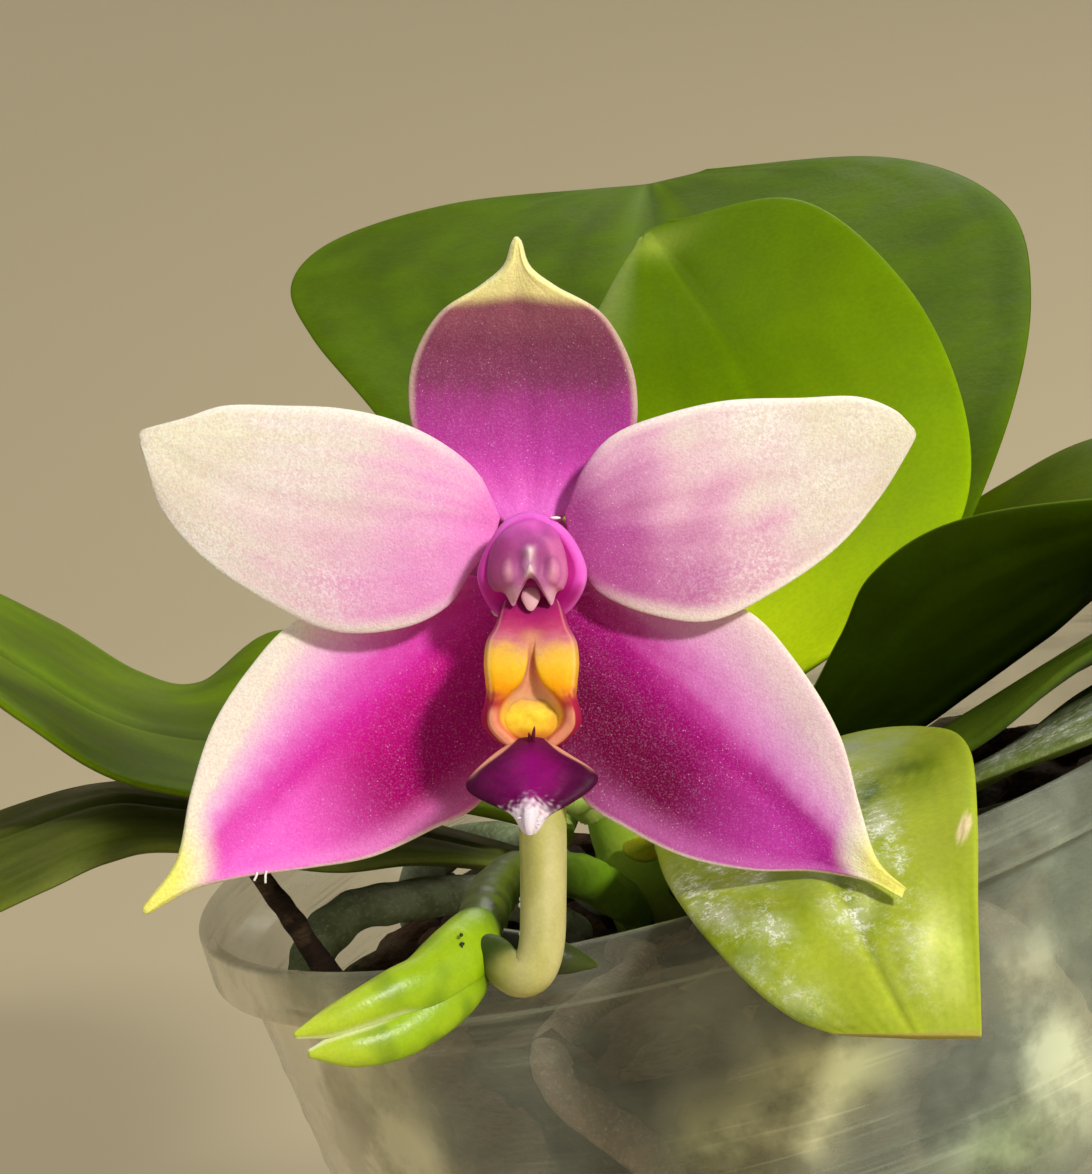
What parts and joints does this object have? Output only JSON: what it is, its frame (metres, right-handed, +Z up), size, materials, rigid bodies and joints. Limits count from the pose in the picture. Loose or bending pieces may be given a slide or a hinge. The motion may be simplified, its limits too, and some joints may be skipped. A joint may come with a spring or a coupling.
{
  "type": "potted phalaenopsis violacea",
  "caption": "Small potted moth orchid in flower: a clear pot of bark, grey-green roots, broad leaves and a magenta and white flower held out over the rim.",
  "frame": {"origin": "centre of the pot's underside, on the surface that it stands on", "axes": "+Z up along the pot's axis; the flower faces -Y; +X is to the right of someone facing the flower"},
  "size_m": [0.1369, 0.1586, 0.1291],
  "materials": {
    "clear_pot": "clear, thin and glossy, with a faint bloom",
    "bark": "rough, moist bark chips",
    "stem_green": "smooth and slightly waxy",
    "root_pale": "dull, spongy skin, pinkish tan",
    "root_grey_green": "dull, spongy skin, silvery grey-green",
    "dead_brown": "dry and brittle",
    "leaf_dark": "waxy, smooth leaf",
    "leaf_green": "waxy, smooth leaf",
    "leaf_bright": "waxy, light shining through the leaf",
    "dorsal_sepal": "soft, finely sparkling petal skin",
    "lateral_sepal": "soft, finely sparkling petal skin",
    "petal": "soft, finely sparkling petal skin",
    "column_magenta": "smooth and waxy",
    "anther_mauve": "smooth and waxy",
    "lip_yellow": "waxy, with a purple tip",
    "pedicel_pale": "smooth, cream-green",
    "spike_green": "smooth, fleshy bracts"
  },
  "bodies": {
    "root": {"pot": "clear_pot", "growing_medium": "bark", "stem": "stem_green", "root_wall_front_left": "root_pale", "root_wall_front": "root_pale", "root_wall_right": "root_pale", "root_wall_back_right": "root_pale", "root_wall_back_left": "root_pale", "root_aerial_left": "root_grey_green", "root_aerial_back": "root_grey_green", "old_spike_stub": "dead_brown", "leaf_back": "leaf_dark", "leaf_bright": "leaf_bright", "leaf_right_upper": "leaf_dark", "leaf_right_middle": "leaf_green", "leaf_right_lower": "leaf_green", "leaf_left_upper": "leaf_green", "leaf_left_lower": "leaf_green", "leaf_front_trimmed": "leaf_bright", "leaf_young": "leaf_bright", "sepal_dorsal": "dorsal_sepal", "sepal_left": "lateral_sepal", "sepal_right": "lateral_sepal", "petal_left": "petal", "petal_right": "petal", "column": "column_magenta", "anther_cap": "anther_mauve", "lip": "lip_yellow", "pedicel": "pedicel_pale", "flower_spike": "spike_green"}
  },
  "joints": []
}
